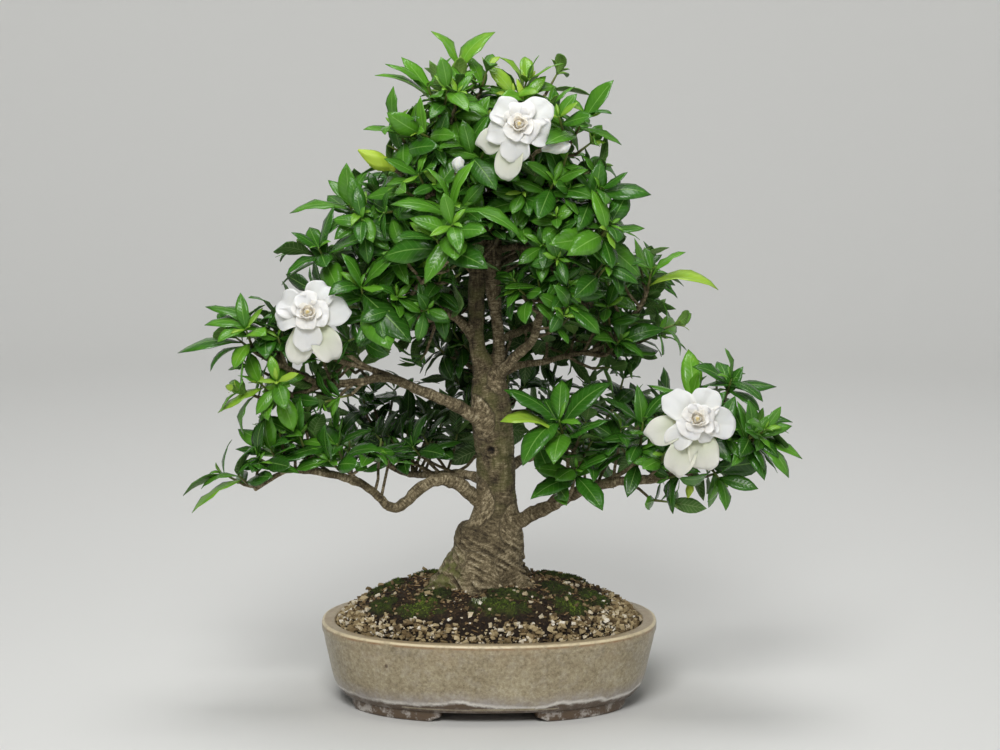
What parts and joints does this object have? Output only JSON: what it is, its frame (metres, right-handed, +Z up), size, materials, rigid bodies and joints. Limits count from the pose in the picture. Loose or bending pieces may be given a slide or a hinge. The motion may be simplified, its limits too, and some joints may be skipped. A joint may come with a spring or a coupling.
{
  "type": "gardenia bonsai",
  "caption": "Upright bonsai tree with glossy leafy shoots and double white blooms, planted in mounded soil in a low oval glazed pot on feet.",
  "frame": {"origin": "middle of the object's outline on the surface that the pot's feet stand on, at the middle of the pot", "axes": "+Z up, +X to the right along the pot's long side, -Y toward the front that the blooms face"},
  "size_m": [0.544, 0.3254, 0.598],
  "materials": {
    "glaze": "mottled grey-beige glaze",
    "screen_plastic": "moulded plastic mesh",
    "soil": "gritty damp soil with gravel and moss",
    "bark": "rough living bark",
    "leaf": "glossy living leaf",
    "shaded_leaf": "glossy living leaf",
    "young_leaf": "glossy young leaf",
    "lime_leaf": "glossy pale young leaf",
    "petal": "soft satin petal",
    "bud_lime": "satin green bud"
  },
  "bodies": {
    "root": {"pot": "glaze", "drain_screen_left": "screen_plastic", "drain_screen_right": "screen_plastic", "soil": "soil", "wood": "bark", "bloom_crown": "petal", "bloom_left": "petal", "bloom_right": "petal", "bud_green": "bud_lime", "bud_white": "petal", "bud_pale": "petal", "bud_small": "bud_lime", "shoot_apex": "young_leaf", "shoot_apex_left": "leaf", "shoot_apex_right": "young_leaf", "shoot_crown_left": "leaf", "shoot_crown_right": "leaf", "shoot_crown_east": "leaf", "shoot_right_high": "leaf", "shoot_front": "young_leaf", "shoot_crown_west": "leaf", "shoot_crown_heart": "leaf", "shoot_crown_mid": "leaf", "shoot_shoulder": "leaf", "shoot_left_outer": "leaf", "shoot_left_front": "leaf", "shoot_far_left_high": "leaf", "shoot_far_left": "leaf", "shoot_left_hanging": "lime_leaf", "shoot_low_left_inner": "leaf", "shoot_low_left_mid": "leaf", "shoot_low_left_outer": "leaf", "shoot_low_left_tip": "leaf", "shoot_back_west": "shaded_leaf", "shoot_back_west_inner": "shaded_leaf", "shoot_right_front": "leaf", "shoot_right_low": "leaf", "shoot_right_between": "leaf", "shoot_above_bloom": "leaf", "shoot_far_right_high": "leaf", "shoot_far_right": "leaf", "shoot_under_bloom": "leaf", "shoot_right_twig": "young_leaf", "shoot_right_mid": "leaf", "shoot_limb_tip": "leaf", "shoot_limb_inner": "leaf", "shoot_back_east": "shaded_leaf", "shoot_back_low": "shaded_leaf", "shoot_back_mid": "shaded_leaf", "shoot_behind_trunk": "shaded_leaf", "shoot_back_left": "shaded_leaf", "shoot_back_left_inner": "shaded_leaf", "shoot_back_right": "shaded_leaf", "shoot_back_right_inner": "shaded_leaf", "shoot_back_high_left": "shaded_leaf", "shoot_back_high_inner": "shaded_leaf", "shoot_back_high_right": "shaded_leaf", "shoot_crown_back": "leaf", "shoot_crown_back_left": "leaf", "shoot_crown_back_right": "leaf"}
  },
  "joints": []
}
